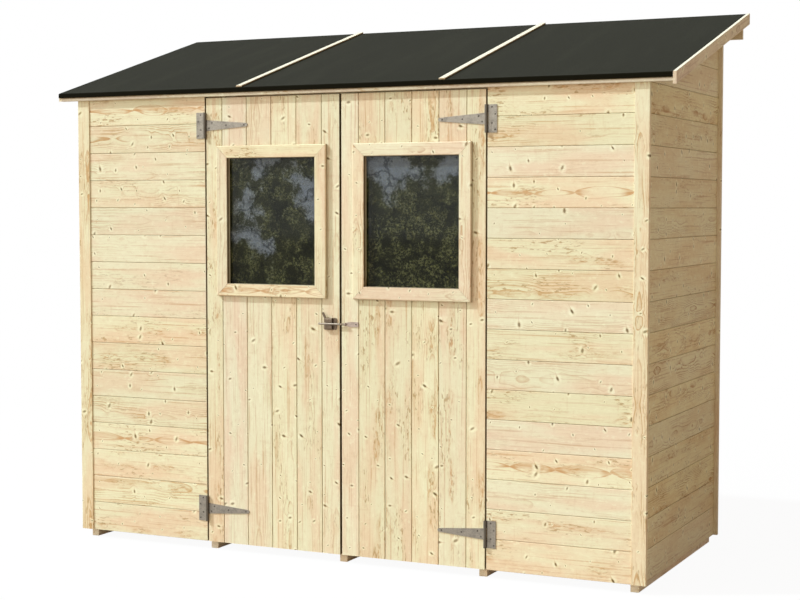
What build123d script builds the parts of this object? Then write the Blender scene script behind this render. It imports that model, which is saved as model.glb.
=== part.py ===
from build123d import *
import os
from math import cos, radians, tan

# Lean-to garden shed of tongue-and-groove boards with a pair of glazed ledged doors.
# Millimetres. While it is built, x = 0 is the middle of the doors, y = 0 the face of the
# front boards (y grows towards the back) and z = 0 the ground under the bearers.

# Overall building
width_over_corners = 2478.0     # across the outer edges of the corner boards
corner_overlap = 16.0           # corner boards stand this far past the side walls
side_wall_end_y = 1010.0        # back end of the side boards
board_t = 16.0                  # all wall, door and floor boards
cladding_bottom_z = 32.0
ground_to_deck_z = 1857.0       # underside of the roof deck in the plane y = 0
roof_pitch_deg = 16.27

# Corner boards, posts and top rails
corner_board_w = 56.0
corner_board_t = 20.0
post_w = 45.0
header_depth = 72.0             # header over the doors, at its front face
rear_rail_depth = 70.0

# Floor and bearers
bearer_h = 45.0
bearer_w = 32.0
bearer_end_inset = 1.0          # outer bearers' faces inside the side walls
bearer_count = 5

# Doorway and leaves
doorway_half_w = 616.3
leaf_side_gap = 6.0             # between a leaf and the front panel
meeting_gap = 8.0               # between the two leaves
leaf_head_gap = 5.5             # between a leaf's top and the eave strip
leaf_back_gap = 6.0             # between a leaf's back and the header and floor
ledge_h = 70.0
ledge_t = 20.0
ledge_inset = 45.0              # from the leaf's upright edges
latch_drop = 99.0               # latch bar and middle ledge below the window frame
hinge_upper_inset = 109.5       # hinge's middle below the leaf's top
hinge_lower_inset = 135.5       # hinge's middle above the leaf's bottom

# Windows
sight_w = 397.0                 # glass seen inside the frame
sight_h = 502.0
window_drop = 493.5             # window's middle below the leaf's top
frame_face_w = 50.0
frame_t = 14.0
frame_outer_bevel = 3.0
frame_inner_bevel = 2.5
glass_set_back = 8.0            # glass behind the face of the boards
glass_lap = 8.0                 # glass held in the rebate of the boards
glass_t = 4.0
glass_edge_gap = 0.5

# T-hinges
knuckle_r = 6.0
knuckle_back_gap = 1.0          # between the knuckles and the face of the boards
pin_r = 3.0
pin_play = 0.05
knuckle_end_gap = 0.5
hinge_sheet = 2.5
plate_h = 104.0
plate_near = 5.2                # plate's near edge from the pin
plate_w = 36.5
plate_notch_gap = 1.5           # between the strap's knuckle and the plate
strap_len = 190.0
strap_root_h = 44.0
strap_tip_r = 7.0

# Latch: a catch with two jaws on the left leaf, a striker with a bar on the right one
bar_r = 4.0
bar_gap = 3.0                   # between the bar and the catch plate
bar_left = 92.0
bar_split_gap = 1.0
catch_near = 16.0
catch_w = 50.0
catch_h = 46.0
catch_plate_t = 3.0
catch_corner_r = 6.0
jaw_w = 33.0
jaw_slot = 10.0                 # between the jaws, for the bar
jaw_reach = 13.0
jaw_round_r = 6.0
guide_w = 12.0
lever_len = 24.0
lever_h = 8.0
lever_t = 4.0
lever_rise_deg = 66.0
striker_near = 15.0
striker_w = 63.0
striker_taper_w = 28.0
striker_near_h = 9.0
striker_far_h = 19.0
striker_corner_r = 4.0
striker_lug_w = 11.0

# Roof
roof_overhang = 103.0           # felt edge past the side walls
eave_reach = 20.0               # front face of the felt, in front of the boards
deck_t = 18.0
felt_t = 3.0
felt_drop = 18.0                # felt folded down over the front edge
felt_lap_gap = 1.0              # between two felt fields, under a batten
eave_strip_depth = 16.5         # at the face of the boards
verge_t = 13.0
verge_depth = 45.0
verge_lip = 1.5                 # verge's top above the felt
roof_fields = ("left", "middle", "right")
roof_joints = ("left", "right")
roof_joint_shift = 4.0          # both felt joints lie this far left of the thirds
roof_batten_w = 26.0
roof_batten_h = 6.5
roof_batten_setback = 3.0       # from the eave
rear_fascia_t = 18.0
rear_fascia_depth = 77.5        # at its front face
rear_fascia_gap = 10.0          # behind the rear corner boards

overrun = 50.0                  # cutters reach this far past what they cut

# Places worked out from the sizes above
pitch = radians(roof_pitch_deg)
rise = tan(pitch)
corner_edge = width_over_corners / 2
side_face = corner_edge - corner_overlap
side_inner = side_face - board_t
outer_bearer_x = side_inner - bearer_end_inset - bearer_w / 2
bearer_step = 2 * outer_bearer_x / (bearer_count - 1)
corner_inner = corner_edge - corner_board_w
post_inner = side_inner - post_w
post_back = board_t + post_w
rear_post_front = side_wall_end_y - post_w
floor_z = bearer_h + board_t
floor_front = board_t + leaf_back_gap
leaf_outer = doorway_half_w - leaf_side_gap
leaf_inner = meeting_gap / 2
leaf_mid = (leaf_outer + leaf_inner) / 2
eave_strip_bottom_z = ground_to_deck_z - eave_strip_depth
leaf_top_z = eave_strip_bottom_z - leaf_head_gap
window_mid_z = leaf_top_z - window_drop
latch_z = window_mid_z - sight_h / 2 - frame_face_w - latch_drop
hinge_upper_z = leaf_top_z - hinge_upper_inset
hinge_lower_z = cladding_bottom_z + hinge_lower_inset
hinge_axis_x = doorway_half_w - leaf_side_gap / 2
hinge_axis_y = -knuckle_r - knuckle_back_gap
bar_y = -catch_plate_t - bar_gap - bar_r
header_bottom_z = ground_to_deck_z + floor_front * rise - header_depth
rear_rail_bottom_z = ground_to_deck_z + rear_post_front * rise - rear_rail_depth
roof_half_w = side_face + roof_overhang
rear_fascia_front = side_wall_end_y + corner_board_t + rear_fascia_gap
rear_reach = rear_fascia_front + rear_fascia_t
rear_fascia_bottom_z = ground_to_deck_z + rear_fascia_front * rise - rear_fascia_depth
deck_front = -eave_reach + felt_t
deck_rise = deck_t / cos(pitch)
felt_rise = felt_t / cos(pitch)
roof_field_w = 2 * roof_half_w / len(roof_fields)
centre_x = verge_t / 2
centre_y = (rear_reach - eave_reach) / 2


def deck_z(y):
    """Height of the roof deck's underside at a depth y."""
    return ground_to_deck_z + y * rise


def slab(x_span, y_span, z_span):
    """A plain block between two planes each way."""
    spans = (x_span, y_span, z_span)
    sizes = [high - low for low, high in spans]
    middles = [(high + low) / 2 for low, high in spans]
    return Pos(*middles) * Box(*sizes)


def side_prism(points, x_span):
    """An outline given as (y, z) points, run along x."""
    low, high = x_span
    face = make_face(Polyline([(y, z) for y, z in points], close=True))
    return Plane.YZ.offset(low) * extrude(face, high - low)


def sloping_bar(x_span, y_span, above, rise_up):
    """A bar along the roof slope: its lower face lies above the deck's underside."""
    front, back = y_span
    points = [
        (front, deck_z(front) + above),
        (back, deck_z(back) + above),
        (back, deck_z(back) + above + rise_up),
        (front, deck_z(front) + above + rise_up),
    ]
    return side_prism(points, x_span)


def under_roof(x_span, y_span, bottom):
    """An upright piece whose top is cut to the roof slope."""
    front, back = y_span
    points = [(front, bottom), (back, bottom), (back, deck_z(back)), (front, deck_z(front))]
    return side_prism(points, x_span)


def sheet_on_face(outline, thickness):
    """An (x, z) outline as a sheet lying on the front face."""
    return Plane.XZ * extrude(outline, thickness)


def other_side(shape):
    """The same piece on the other side of the doors."""
    return mirror(shape, about=Plane.YZ)


def make_base():
    """Bearers from front to back with the floor on them."""
    pieces = {}
    half = bearer_w / 2
    for index in range(bearer_count):
        middle = bearer_step * index - outer_bearer_x
        x_span = (middle - half, middle + half)
        pieces[f"bearer_{index + 1}"] = slab(x_span, (floor_front, side_wall_end_y), (0, bearer_h))
    pieces["floor"] = slab((-side_inner, side_inner), (floor_front, side_wall_end_y), (bearer_h, floor_z))
    return pieces


def make_walls():
    """Boarded walls, their corner boards, and the posts and rails that carry them."""
    front_panel = slab((doorway_half_w, corner_inner), (0, board_t), (cladding_bottom_z, ground_to_deck_z))
    side = under_roof((side_inner, side_face), (board_t, side_wall_end_y), cladding_bottom_z)
    back_y = (side_wall_end_y, side_wall_end_y + board_t)
    front_corner_y = (board_t - corner_board_t, board_t)
    rear_corner_y = (side_wall_end_y, side_wall_end_y + corner_board_t)
    corner_x = (corner_inner, corner_edge)
    front_corner = slab(corner_x, front_corner_y, (cladding_bottom_z, eave_strip_bottom_z))
    rear_corner = under_roof(corner_x, rear_corner_y, cladding_bottom_z)
    post_x = (post_inner, side_inner)
    front_post = under_roof(post_x, (board_t, post_back), floor_z)
    rear_post = under_roof(post_x, (rear_post_front, side_wall_end_y), floor_z)
    door_post_x = (doorway_half_w, doorway_half_w + post_w)
    door_post = slab(door_post_x, (board_t, post_back), (floor_z, header_bottom_z))
    rail_x = (-post_inner, post_inner)
    pairs = {
        "front_panel": front_panel,
        "side_wall": side,
        "front_corner_board": front_corner,
        "rear_corner_board": rear_corner,
        "front_corner_post": front_post,
        "rear_corner_post": rear_post,
        "door_post": door_post,
    }
    pieces = {}
    for name, shape in pairs.items():
        pieces[f"right_{name}"] = shape
        pieces[f"left_{name}"] = other_side(shape)
    pieces["back_wall"] = under_roof((-corner_inner, corner_inner), back_y, cladding_bottom_z)
    pieces["door_header"] = under_roof(rail_x, (floor_front, post_back), header_bottom_z)
    pieces["rear_top_rail"] = under_roof(rail_x, (rear_post_front, side_wall_end_y), rear_rail_bottom_z)
    return pieces


def make_roof():
    """Deck, felt in fields, battens over the joints, and the boards round the edges."""
    left_verge_x = (-roof_half_w, -roof_half_w + verge_t)
    deck_x = (left_verge_x[1], roof_half_w)
    deck_y = (deck_front, rear_reach)
    pieces = {"roof_deck": sloping_bar(deck_x, deck_y, 0, deck_rise)}

    for index, name in enumerate(roof_fields):
        left = -roof_half_w + roof_field_w * index
        right = left + roof_field_w
        if index > 0:
            left += felt_lap_gap / 2 - roof_joint_shift
        if index < len(roof_fields) - 1:
            right -= felt_lap_gap / 2 + roof_joint_shift
        felt_low = deck_z(-eave_reach) + deck_rise + felt_rise - felt_drop
        outline = [
            (-eave_reach, felt_low),
            (deck_front, felt_low),
            (deck_front, deck_z(deck_front) + deck_rise),
            (rear_reach, deck_z(rear_reach) + deck_rise),
            (rear_reach, deck_z(rear_reach) + deck_rise + felt_rise),
            (-eave_reach, deck_z(-eave_reach) + deck_rise + felt_rise),
        ]
        pieces[f"{name}_roof_felt"] = side_prism(outline, (left, right))

    batten_y = (roof_batten_setback - eave_reach, rear_reach)
    batten_rise = roof_batten_h / cos(pitch)
    for index, name in enumerate(roof_joints, start=1):
        middle = -roof_half_w + roof_field_w * index - roof_joint_shift
        x_span = (middle - roof_batten_w / 2, middle + roof_batten_w / 2)
        pieces[f"{name}_roof_batten"] = sloping_bar(x_span, batten_y, deck_rise + felt_rise, batten_rise)

    strip_points = [
        (deck_front, eave_strip_bottom_z),
        (0, eave_strip_bottom_z),
        (0, deck_z(0)),
        (deck_front, deck_z(deck_front)),
    ]
    pieces["front_eave_strip"] = side_prism(strip_points, deck_x)
    fascia_x = (left_verge_x[1], -left_verge_x[1])
    fascia_y = (rear_fascia_front, rear_reach)
    pieces["rear_fascia"] = under_roof(fascia_x, fascia_y, rear_fascia_bottom_z)

    verge_top = deck_rise + felt_rise + verge_lip
    right_verge_x = (roof_half_w, roof_half_w + verge_t)
    right_verge_y = (-eave_reach, rear_reach)
    pieces["right_verge"] = sloping_bar(right_verge_x, right_verge_y, verge_top - verge_depth, verge_depth)
    left_drop = deck_z(deck_front) - eave_strip_bottom_z
    pieces["left_verge"] = sloping_bar(left_verge_x, deck_y, -left_drop, deck_rise + left_drop)
    return pieces


def window_block(half_w, half_h, y_span):
    """A block round the middle of the right-hand window."""
    x_span = (leaf_mid - half_w, leaf_mid + half_w)
    return slab(x_span, y_span, (window_mid_z - half_h, window_mid_z + half_h))


def window_frame():
    """Mitred frame round the right-hand window, with its edges bevelled all round."""
    half_w = sight_w / 2
    half_h = sight_h / 2
    frame = window_block(half_w + frame_face_w, half_h + frame_face_w, (-frame_t, 0))
    front_edges = frame.faces().sort_by(Axis.Y)[0].edges()
    frame = chamfer(front_edges, frame_outer_bevel)
    frame -= window_block(half_w, half_h, (-frame_t - overrun, overrun))
    inner_wire = frame.faces().sort_by(Axis.Y)[0].inner_wires()[0]
    return chamfer(inner_wire.edges(), frame_inner_bevel)


def hinge_strap(middle_z):
    """Tapered strap of the right-hand leaf with the middle knuckle of the hinge."""
    half_root = strap_root_h / 2
    root = Polygon(
        (0, -half_root),
        (0, half_root),
        (-strap_len, strap_tip_r),
        (-strap_len, -strap_tip_r),
        align=None,
    )
    outline = root + Pos(-strap_len, 0) * Circle(strap_tip_r)
    strap = Pos(hinge_axis_x, 0, middle_z) * sheet_on_face(outline, hinge_sheet)
    axis_place = Pos(hinge_axis_x, hinge_axis_y, middle_z)
    knuckle = axis_place * Cylinder(knuckle_r, strap_root_h)
    web = slab(
        (hinge_axis_x - knuckle_r, hinge_axis_x),
        (hinge_axis_y, 0),
        (middle_z - half_root, middle_z + half_root),
    )
    bore = axis_place * Cylinder(pin_r + pin_play, strap_root_h + overrun)
    return (strap + knuckle + web - bore).solid()


def hinge_plate(middle_z):
    """Plate on the right-hand panel with the two outer knuckles and the pin."""
    near = hinge_axis_x + plate_near
    far = near + plate_w
    low = middle_z - plate_h / 2
    high = middle_z + plate_h / 2
    opening_half = strap_root_h / 2 + knuckle_end_gap
    plate = slab((hinge_axis_x, far), (-hinge_sheet, 0), (low, high))
    outer_web = slab((hinge_axis_x, near), (hinge_axis_y, 0), (low, high))
    barrel = Pos(hinge_axis_x, hinge_axis_y, middle_z) * Cylinder(knuckle_r, plate_h)
    notch = slab(
        (hinge_axis_x - knuckle_r - overrun, hinge_axis_x + knuckle_r + plate_notch_gap),
        (hinge_axis_y - knuckle_r - overrun, overrun),
        (middle_z - opening_half, middle_z + opening_half),
    )
    pin = Pos(hinge_axis_x, hinge_axis_y, middle_z) * Cylinder(pin_r, plate_h)
    return (plate + outer_web + barrel - notch + pin).solid()


def make_leaf(side):
    """One door leaf: board panel, ledges, window and hinge straps."""
    panel = slab((leaf_inner, leaf_outer), (0, board_t), (cladding_bottom_z, leaf_top_z))
    half_w = sight_w / 2
    half_h = sight_h / 2
    panel -= window_block(half_w, half_h, (-overrun, board_t + overrun))
    panel -= window_block(half_w + glass_lap, half_h + glass_lap, (glass_set_back, board_t + overrun))
    glass_edge = glass_lap - glass_edge_gap
    glass_y = (glass_set_back, glass_set_back + glass_t)
    pane = window_block(half_w + glass_edge, half_h + glass_edge, glass_y)
    ledge_x = (leaf_inner + ledge_inset, leaf_outer - ledge_inset)
    ledge_y = (board_t, board_t + ledge_t)
    ledges = []
    for middle in (hinge_lower_z, latch_z, hinge_upper_z):
        ledges.append(slab(ledge_x, ledge_y, (middle - ledge_h / 2, middle + ledge_h / 2)))
    straps = [hinge_strap(hinge_lower_z), hinge_strap(hinge_upper_z)]
    pieces = {
        "door_boards": panel,
        "door_ledges": Compound(children=ledges),
        "window_frame": window_frame(),
        "window_pane": pane,
        "hinge_straps": Compound(children=straps),
    }
    if side == "left":
        pieces = {name: other_side(shape) for name, shape in pieces.items()}
    return {f"{side}_{name}": shape for name, shape in pieces.items()}


def make_hinge_plates():
    """Fixed halves of the hinges, two on each front panel."""
    plates = Compound(children=[hinge_plate(hinge_lower_z), hinge_plate(hinge_upper_z)])
    return {"right_hinge_plates": plates, "left_hinge_plates": other_side(plates)}


def bar(x_span):
    """A length of the round latch bar."""
    low, high = x_span
    middle = (low + high) / 2
    return Pos(middle, bar_y, latch_z) * Rot(0, 90, 0) * Cylinder(bar_r, high - low)


def jaw(x_span, z_span, outer):
    """One jaw of the catch, its outer front edge rounded."""
    block = slab(x_span, (-jaw_reach, 0), z_span)
    front_edges = block.faces().sort_by(Axis.Y)[0].edges().filter_by(Axis.X)
    return fillet(front_edges.sort_by(Axis.Z)[outer], jaw_round_r)


def make_latch():
    """Catch on the left leaf and its striker on the right leaf."""
    catch_far = -catch_near - catch_w
    half_h = catch_h / 2
    half_slot = jaw_slot / 2
    face = RectangleRounded(catch_w, catch_h, catch_corner_r)
    catch = Pos(catch_far + catch_w / 2, 0, latch_z) * sheet_on_face(face, catch_plate_t)
    catch += bar((-bar_left, -bar_split_gap / 2))
    jaw_x = (catch_far, catch_far + jaw_w)
    catch += jaw(jaw_x, (latch_z - half_h, latch_z - half_slot), 0)
    catch += jaw(jaw_x, (latch_z + half_slot, latch_z + half_h), -1)
    guide_mid = catch_far + jaw_w / 2
    guide_x = (guide_mid - guide_w / 2, guide_mid + guide_w / 2)
    catch += slab(guide_x, (bar_y, 0), (latch_z - half_h, latch_z + half_h))
    lever = Pos(-lever_len / 2, 0, 0) * sheet_on_face(SlotCenterToCenter(lever_len, lever_h), lever_t)
    lever_place = Pos(catch_far + lever_h / 2, bar_y + lever_t / 2, latch_z + half_h - lever_h / 2)
    catch += lever_place * Rot(0, lever_rise_deg, 0) * lever

    near = striker_near
    far = striker_near + striker_w
    broad = near + striker_taper_w
    outline = Polygon(
        (near, -striker_near_h / 2),
        (broad, -striker_far_h / 2),
        (far, -striker_far_h / 2),
        (far, striker_far_h / 2),
        (broad, striker_far_h / 2),
        (near, striker_near_h / 2),
        align=None,
    )
    far_corners = outline.vertices().sort_by(Axis.X)[-2:]
    outline = fillet(far_corners, striker_corner_r)
    striker = Pos(0, 0, latch_z) * sheet_on_face(outline, catch_plate_t)
    lug_x = (near, near + striker_lug_w)
    striker += slab(lug_x, (bar_y, 0), (latch_z - bar_r, latch_z + bar_r))
    striker += bar((bar_split_gap / 2, near + striker_lug_w))
    return {"latch": catch.solid(), "latch_striker": striker.solid()}


def main():
    """Build every piece and write one file for each."""
    pieces = {}
    pieces.update(make_base())
    pieces.update(make_walls())
    pieces.update(make_roof())
    pieces.update(make_leaf("left"))
    pieces.update(make_leaf("right"))
    pieces.update(make_hinge_plates())
    pieces.update(make_latch())
    os.makedirs("parts", exist_ok=True)
    to_centre = Pos(-centre_x, -centre_y, 0)
    for name, shape in pieces.items():
        export_step(to_centre * shape, f"parts/{name}.step")


main()
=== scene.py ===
"""Looks of the wooden garden shed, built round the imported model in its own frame, in metres."""
import logging
import math
from dataclasses import dataclass, field, replace
from enum import Enum
from functools import cache, reduce
from typing import Any, Callable, Optional, Sequence, Union

import bpy
import numpy as np
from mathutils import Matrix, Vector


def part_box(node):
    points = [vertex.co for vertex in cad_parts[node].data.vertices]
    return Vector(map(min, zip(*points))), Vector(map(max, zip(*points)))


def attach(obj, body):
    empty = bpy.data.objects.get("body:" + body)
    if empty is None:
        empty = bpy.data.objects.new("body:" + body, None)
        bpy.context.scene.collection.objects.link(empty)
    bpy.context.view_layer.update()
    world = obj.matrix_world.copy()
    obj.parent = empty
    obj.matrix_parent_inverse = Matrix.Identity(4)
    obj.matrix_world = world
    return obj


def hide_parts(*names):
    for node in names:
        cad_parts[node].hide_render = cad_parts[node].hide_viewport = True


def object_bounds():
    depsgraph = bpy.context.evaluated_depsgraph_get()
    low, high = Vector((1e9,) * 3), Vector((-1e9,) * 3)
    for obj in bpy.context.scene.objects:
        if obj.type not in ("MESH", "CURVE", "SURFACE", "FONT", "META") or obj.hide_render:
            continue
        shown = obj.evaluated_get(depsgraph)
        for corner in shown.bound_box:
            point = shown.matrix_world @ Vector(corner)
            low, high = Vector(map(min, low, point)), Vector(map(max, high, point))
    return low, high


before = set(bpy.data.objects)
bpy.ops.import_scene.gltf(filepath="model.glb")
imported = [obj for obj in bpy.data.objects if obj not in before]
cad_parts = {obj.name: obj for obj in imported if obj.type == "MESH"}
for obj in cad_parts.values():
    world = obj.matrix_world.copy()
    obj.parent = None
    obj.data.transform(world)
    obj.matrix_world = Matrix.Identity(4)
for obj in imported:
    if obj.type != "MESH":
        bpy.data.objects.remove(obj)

LOG = logging.getLogger("shed")
Colour = tuple[float, float, float]
Point = tuple[float, float, float]
Span = tuple[float, float]
Length = Union[float, np.ndarray]
Cut = tuple[np.ndarray, float]   # a place along, across and through a log, and a tone

CAD_LOW, CAD_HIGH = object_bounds()
ROOF_RISE = math.tan(math.radians(16.27))   # height gained per metre towards the back
COVER = 0.113          # width of a board from joint to joint
FIGURED_FROM = 0.97    # timbers with a tone above this show a row of pointed ovals
EFFECT_OUTPUTS = {"Color": "Color", "Roughness": "Float", "Height": "Float"}


class Body(Enum):
    """The bodies of the shed: what stands still and what swings."""

    SHED = "shed"
    LEFT_DOOR = "left_door"
    RIGHT_DOOR = "right_door"


class Side(Enum):
    """Left or right of the doors' meeting line."""

    LEFT = ("left", -1.0, Body.LEFT_DOOR)
    RIGHT = ("right", 1.0, Body.RIGHT_DOOR)

    def __init__(self, word: str, sign: float, door: Body) -> None:
        """Takes the side's word in the nodes' names, the sign of x there and the leaf on it."""
        self.word, self.sign, self.door = word, sign, door


class Lie(Enum):
    """How a timber lies: the world axes along, across and through it."""

    ACROSS_WALL = (0, 2, 1)     # runs along x, its width upright
    UPRIGHT = (2, 0, 1)         # runs up, its width along x
    ALONG_SIDE = (1, 2, 0)      # runs front to back, its width upright
    FLAT_ACROSS = (0, 1, 2)     # runs along x, lying flat
    FLAT_BACK = (1, 0, 2)       # runs front to back, lying flat


def roof_line(y: Length) -> Length:
    """Height of the roof deck's underside: the side wall's top end, less the slope up to it.

    Args:
        y: Depth or depths in the row frame.

    Returns:
        The height or heights there.
    """
    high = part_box("right_side_wall")[1]
    return high.z + ROOF_RISE * (y - high.y)


def level_box(node: str, follows_roof: bool) -> tuple[np.ndarray, np.ndarray, float]:
    """A node's box, laid level where its timbers run up the roof.

    Args:
        node: The node.
        follows_roof: Whether its timbers follow the roof slope.

    Returns:
        Lowest corner, highest corner, and the slope that was taken out.
    """
    low, high = (np.array(c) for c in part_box(node))
    slope = ROOF_RISE if follows_roof else 0.0
    low[2] -= slope * low[1]
    high[2] -= slope * high[1]
    return low, high, slope


# Shapes


def bend(start: np.ndarray, corner: np.ndarray, end: np.ndarray, steps: int) -> np.ndarray:
    """Points on the curve (1-s)^2 start + 2 s (1-s) corner + s^2 end, with s from 0 to 1."""
    s = np.linspace(0.0, 1.0, steps)[:, None]
    return (1 - s) ** 2 * start + 2 * s * (1 - s) * corner + s**2 * end


def eased(corners: np.ndarray, radius: float, steps: int = 3) -> np.ndarray:
    """Rounds the corners of a closed outline with bends from edge to edge.

    Args:
        corners: Outline, one (across, through) row per corner.
        radius: How far along each edge the easing starts.
        steps: Points that stand for each corner.

    Returns:
        The eased outline, steps rows per corner.
    """
    back = np.roll(corners, 1, axis=0) - corners
    ahead = np.roll(corners, -1, axis=0) - corners
    back /= np.linalg.norm(back, axis=1, keepdims=True)
    ahead /= np.linalg.norm(ahead, axis=1, keepdims=True)
    first, last = (corners + radius * back)[:, None], (corners + radius * ahead)[:, None]
    return bend(first, corners[:, None], last, steps).reshape(-1, 2)


def carried(profile: np.ndarray, start: Length, end: Length, lie: Lie,
            shares: Sequence[float] = (0.0, 1.0)) -> np.ndarray:
    """Carries a closed profile along a straight run.

    Point (i, j) lies at start_j + share_i * (end_j - start_j) along the run, and at the profile's
    point j across and through it.

    Args:
        profile: Outline, one (across, through) row per point.
        start: Where the run starts, one value or one for each point of the profile.
        end: Where it ends, likewise.
        lie: The world axes of the run.
        shares: Where the rings stand, as shares of the run.

    Returns:
        Points of shape (rings, points of the profile, 3).
    """
    along, across, through = lie.value
    share = np.asarray(shares, float)[:, None]
    points = np.empty((len(share), len(profile), 3))
    points[..., along] = start + share * (np.asarray(end, float) - start)
    points[..., across] = profile[:, 0]
    points[..., through] = profile[:, 1]
    return points


def ring_quads(rings: int, sides: int) -> np.ndarray:
    """Quads between closed rings of points: a, the next point b, and the two above them.

    Args:
        rings: How many rings there are.
        sides: How many points each has.

    Returns:
        Rows of four point numbers, ring after ring.
    """
    i, j = np.meshgrid(np.arange(rings - 1), np.arange(sides), indexing="ij")
    a = i * sides + j
    b = i * sides + (j + 1) % sides
    return np.stack([a, b, b + sides, a + sides], -1).reshape(-1, 4)


def signed_volume(points: np.ndarray, faces: Sequence[np.ndarray]) -> float:
    """Volume inside a closed mesh by fanning its faces: the sum of a . (b x c) / 6.

    Args:
        points: Rows of x, y and z.
        faces: Arrays of point numbers, each for faces of one size.

    Returns:
        The volume, below zero if the faces look inwards.
    """
    fans = np.concatenate([f[:, [0, k, k + 1]] for f in faces for k in range(1, f.shape[1] - 1)])
    a, b, c = points[fans].transpose(1, 0, 2)
    return float(np.einsum("ij,ij->i", a, np.cross(b, c)).sum() / 6.0)


def tube_faces(points: np.ndarray, rings: int, first: int = 0) -> list[list[int]]:
    """Faces of a tube with closed ends, turned outwards.

    Args:
        points: Its points, ring after ring.
        rings: How many rings there are.
        first: Number of its first point in the mesh.

    Returns:
        Rows of point numbers.
    """
    sides = len(points) // rings
    end = np.arange(sides)[None, :]
    faces = [ring_quads(rings, sides), end[:, ::-1], end + (rings - 1) * sides]
    turn = -1 if signed_volume(points, faces) < 0 else 1
    return [row for f in faces for row in (f[:, ::turn] + first).tolist()]


def mesh_object(name: str, points: np.ndarray, faces: list[list[int]]) -> bpy.types.Object:
    """Makes a flat-shaded mesh object at the origin.

    Args:
        name: The piece's name.
        points: Rows of x, y and z.
        faces: Rows of point numbers.

    Returns:
        The new object, in the scene.
    """
    mesh = bpy.data.meshes.new(name)
    mesh.from_pydata(points.tolist(), [], faces)
    mesh.update()
    piece = bpy.data.objects.new(name, mesh)
    bpy.context.scene.collection.objects.link(piece)
    return piece


@dataclass
class TimberMesh:
    """Gathers closed timbers into one mesh, with the wood's own coordinates on its points.

    The attribute grain holds where a point lay in the log, in metres along, across and through it,
    tone one number for each timber, so that no two boards look alike, and soil how far
    the wood is darkened: painted shade in gaps, reveals and along edges, with some dirt in the
    joints.
    """

    name: str
    seed: int
    log_length: float = 40.0
    off_middle: float = 0.045          # how far from the log's middle a timber may lie, across it
    heart_depth: Span = (0.025, 0.085)  # how deep the heart lies under or over it
    points: list[np.ndarray] = field(default_factory=list)
    grain: list[np.ndarray] = field(default_factory=list)
    tone: list[np.ndarray] = field(default_factory=list)
    soil: list[np.ndarray] = field(default_factory=list)
    faces: list[list[int]] = field(default_factory=list)
    count: int = 0

    def __post_init__(self) -> None:
        """Starts this mesh's own fixed row of random numbers."""
        self.rng = np.random.default_rng(self.seed)

    def log(self, middle: float, figured: bool = False) -> Cut:
        """Chooses where in a log the next timber was cut.

        Args:
            middle: Where the timber's middle lies, across it.
            figured: Whether it was cut through the heart, which shows as pointed ovals.

        Returns:
            The offset from its place in the shed to its place in the log, and its tone.
        """
        heart = self.rng.uniform(*self.heart_depth) * self.rng.choice((-1.0, 1.0))
        along = self.rng.uniform(0.0, self.log_length)
        across = self.rng.uniform(-self.off_middle, self.off_middle)
        tone = float(self.rng.uniform(0.0, FIGURED_FROM))
        if figured:
            across, tone = 0.0, 1.0
        return np.array([along, across - middle, heart]), tone

    def add(self, ring: np.ndarray, lie: Lie, cut: Optional[Cut] = None, slope: float = 0.0,
            soil: Length = 0.0) -> None:
        """Adds one closed timber.

        Args:
            ring: Points of shape (rings, profile points, 3), as carried() gives them.
            lie: The world axes of the timber, for its grain.
            cut: Where in a log it was cut, as log() gives it, or None for a new log.
            slope: Height gained per metre of depth, for timbers that follow the roof.
            soil: Darkening from 0 to 1, mostly painted shade, for all, for each profile point or
                for each point.
        """
        points = ring.reshape(-1, 3).copy()
        along, across, through = lie.value
        width = points[:, across]
        place, tone = cut or self.log((width.min() + width.max()) / 2)
        grain = points[:, [along, across, through]] + place
        grain[:, 2] -= points[:, through].min()
        points[:, 2] += slope * points[:, 1]
        self.faces += tube_faces(points, len(ring), self.count)
        self.points.append(points)
        self.grain.append(grain)
        self.tone.append(np.full(len(points), tone))
        self.soil.append(np.broadcast_to(soil, ring.shape[:2]).ravel())
        self.count += len(points)

    def object(self) -> bpy.types.Object:
        """Puts the gathered timbers into the scene as one object at the origin.

        Returns:
            The new object.
        """
        piece = mesh_object(self.name, np.concatenate(self.points), self.faces)
        spot = piece.data.attributes.new("grain", "FLOAT_VECTOR", "POINT")
        spot.data.foreach_set("vector", np.concatenate(self.grain).astype(np.float32).ravel())
        for name, values in (("tone", self.tone), ("soil", self.soil)):
            layer = piece.data.attributes.new(name, "FLOAT", "POINT")
            layer.data.foreach_set("value", np.concatenate(values).astype(np.float32))
        return piece


# Finishes


def srgb(red: int, green: int, blue: int) -> Colour:
    """A colour given in screen values from 0 to 255, as the linear values that shaders take."""
    seen = np.array([red, green, blue]) / 255.0
    return tuple(np.where(seen <= 0.04045, seen / 12.92, ((seen + 0.055) / 1.055) ** 2.4).tolist())


def operator(operation: str) -> Callable[..., "Wire"]:
    """A method of Wire that adds a Math node."""
    return lambda wire, *others: wire.bench.math(operation, wire, *others)


@dataclass(frozen=True, eq=False)
class Wire:
    """An output of a node, with the arithmetic that adds a Math node after it."""

    bench: "NodeBench"
    socket: bpy.types.NodeSocket

    __add__ = operator("ADD")
    __sub__ = operator("SUBTRACT")
    __mul__ = operator("MULTIPLY")
    __truediv__ = operator("DIVIDE")
    __pow__ = operator("POWER")
    __gt__ = operator("GREATER_THAN")
    __abs__ = operator("ABSOLUTE")


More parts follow.
